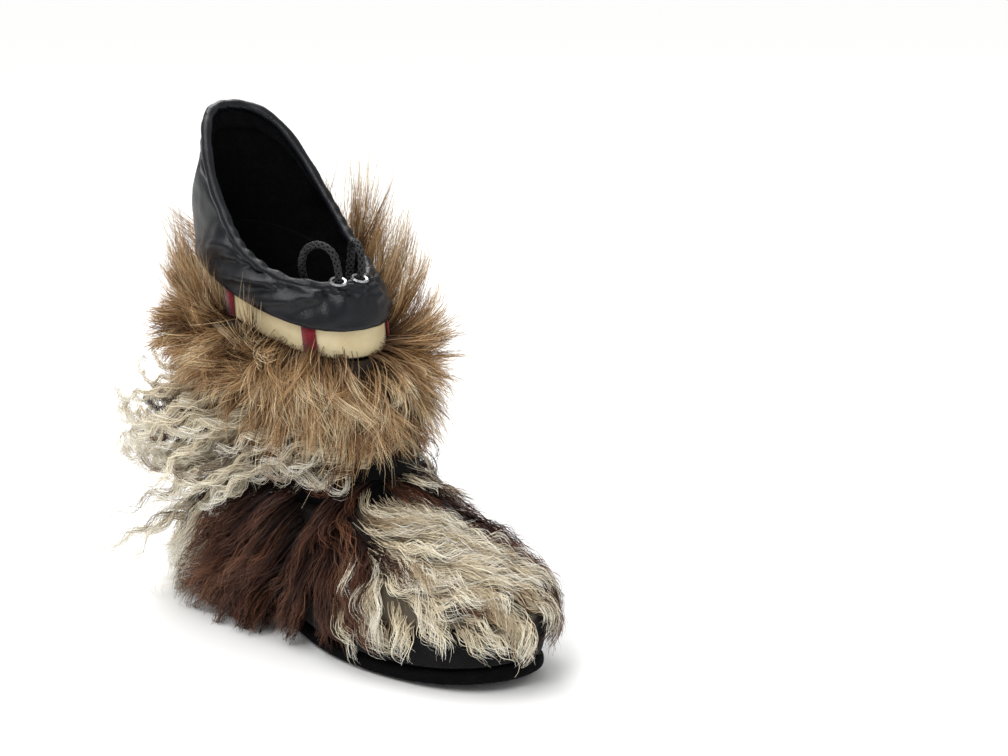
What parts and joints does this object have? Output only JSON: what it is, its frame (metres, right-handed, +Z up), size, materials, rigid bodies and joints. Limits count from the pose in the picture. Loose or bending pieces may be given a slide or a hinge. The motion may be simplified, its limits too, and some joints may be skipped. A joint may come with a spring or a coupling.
{
  "type": "fur mukluk boot",
  "caption": "Right winter boot with a shaggy fur foot and shaft, a fox fur band and a soft black leather collar drawn in by a cord, on a flat felt sole.",
  "frame": {"origin": "on the floor, under the centre of the heel", "axes": "+X to the toe, +Y to the inner side of the foot, +Z up"},
  "size_m": [0.3452, 0.2123, 0.3081],
  "materials": {
    "sole": "dense black felt with a suede edge",
    "lining": "black felt",
    "hide": "raw side of the pelt",
    "black_suede": "napped suede",
    "pale_hide": "smooth cream hide",
    "black_leather": "soft satin leather",
    "red_felt": "felt with a pinked edge",
    "brown_fur": "long wavy goat hair",
    "white_fur": "long curly sheep wool",
    "fox_fur": "dense fox fur with pale guard hairs",
    "metal": "plated ring",
    "cord": "round braid",
    "aglet": "dark crimped tube"
  },
  "bodies": {
    "root": {"outsole": "sole", "insole": "lining", "upper": "hide", "rand": "black_suede", "ankle_strap": "black_suede", "pale_band": "pale_hide", "collar": "black_leather", "foot_pelt": "brown_fur", "shaft_fleece": "white_fur", "fox_fur_band": "fox_fur", "red_tab_1": "red_felt", "red_tab_2": "red_felt", "red_tab_3": "red_felt", "red_tab_4": "red_felt", "eyelet_outer": "metal", "eyelet_inner": "metal", "drawstring_outer": "cord", "drawstring_inner": "cord", "aglet_outer": "aglet", "aglet_inner": "aglet"}
  },
  "joints": []
}
